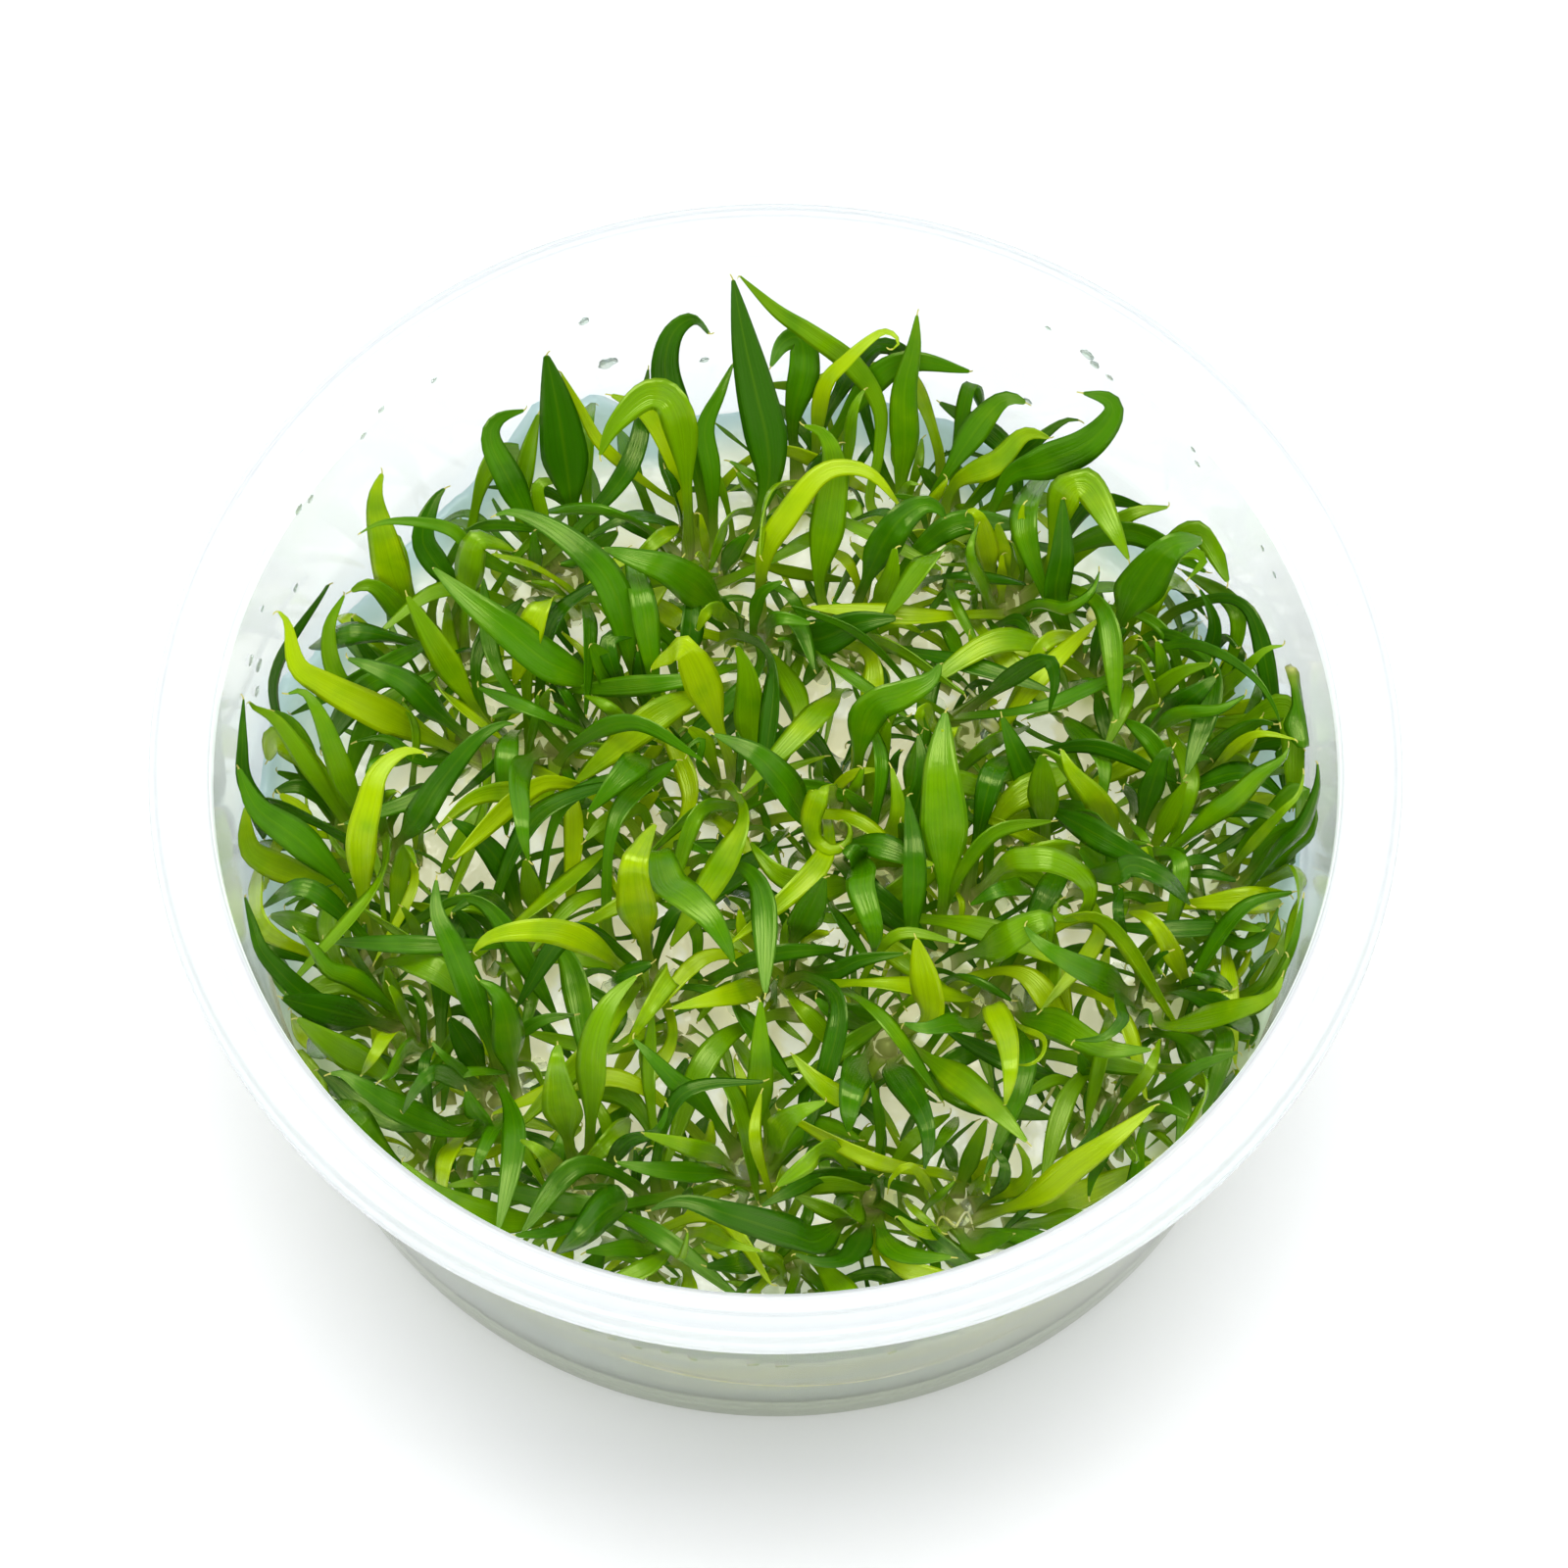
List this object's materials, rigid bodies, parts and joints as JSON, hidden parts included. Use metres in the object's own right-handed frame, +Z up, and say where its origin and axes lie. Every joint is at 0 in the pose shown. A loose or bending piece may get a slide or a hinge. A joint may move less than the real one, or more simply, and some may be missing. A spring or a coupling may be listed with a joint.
{
  "type": "tissue culture cryptocoryne parva",
  "caption": "Clear round cup with a layer of culture jelly, crowded with small upright rosettes of narrow green leaves.",
  "frame": {"origin": "centre of the cup's underside, on the surface it stands on", "axes": "+Z up along the cup's axis; -Y towards the viewer of the picture, +X to the viewer's right"},
  "size_m": [0.1, 0.1, 0.0435],
  "materials": {
    "cup": "clear, glossy moulded plastic",
    "jelly": "wet, milky culture jelly",
    "leaf": "moist, smooth green leaf"
  },
  "bodies": {
    "root": {"cup": "cup", "culture_jelly": "jelly", "plantlet_01": "leaf", "plantlet_02": "leaf", "plantlet_03": "leaf", "plantlet_04": "leaf", "plantlet_05": "leaf", "plantlet_06": "leaf", "plantlet_07": "leaf", "plantlet_08": "leaf", "plantlet_09": "leaf", "plantlet_10": "leaf", "plantlet_11": "leaf", "plantlet_12": "leaf", "plantlet_13": "leaf", "plantlet_14": "leaf", "plantlet_15": "leaf", "plantlet_16": "leaf", "plantlet_17": "leaf", "plantlet_18": "leaf", "plantlet_19": "leaf", "plantlet_20": "leaf", "plantlet_21": "leaf", "plantlet_22": "leaf", "plantlet_23": "leaf", "plantlet_24": "leaf", "plantlet_25": "leaf", "plantlet_26": "leaf", "plantlet_27": "leaf", "plantlet_28": "leaf", "plantlet_29": "leaf", "plantlet_30": "leaf", "plantlet_31": "leaf", "plantlet_32": "leaf", "plantlet_33": "leaf", "plantlet_34": "leaf", "plantlet_35": "leaf", "plantlet_36": "leaf", "plantlet_37": "leaf", "plantlet_38": "leaf", "plantlet_39": "leaf", "plantlet_40": "leaf", "plantlet_41": "leaf", "plantlet_42": "leaf", "plantlet_43": "leaf", "plantlet_44": "leaf"}
  },
  "joints": []
}
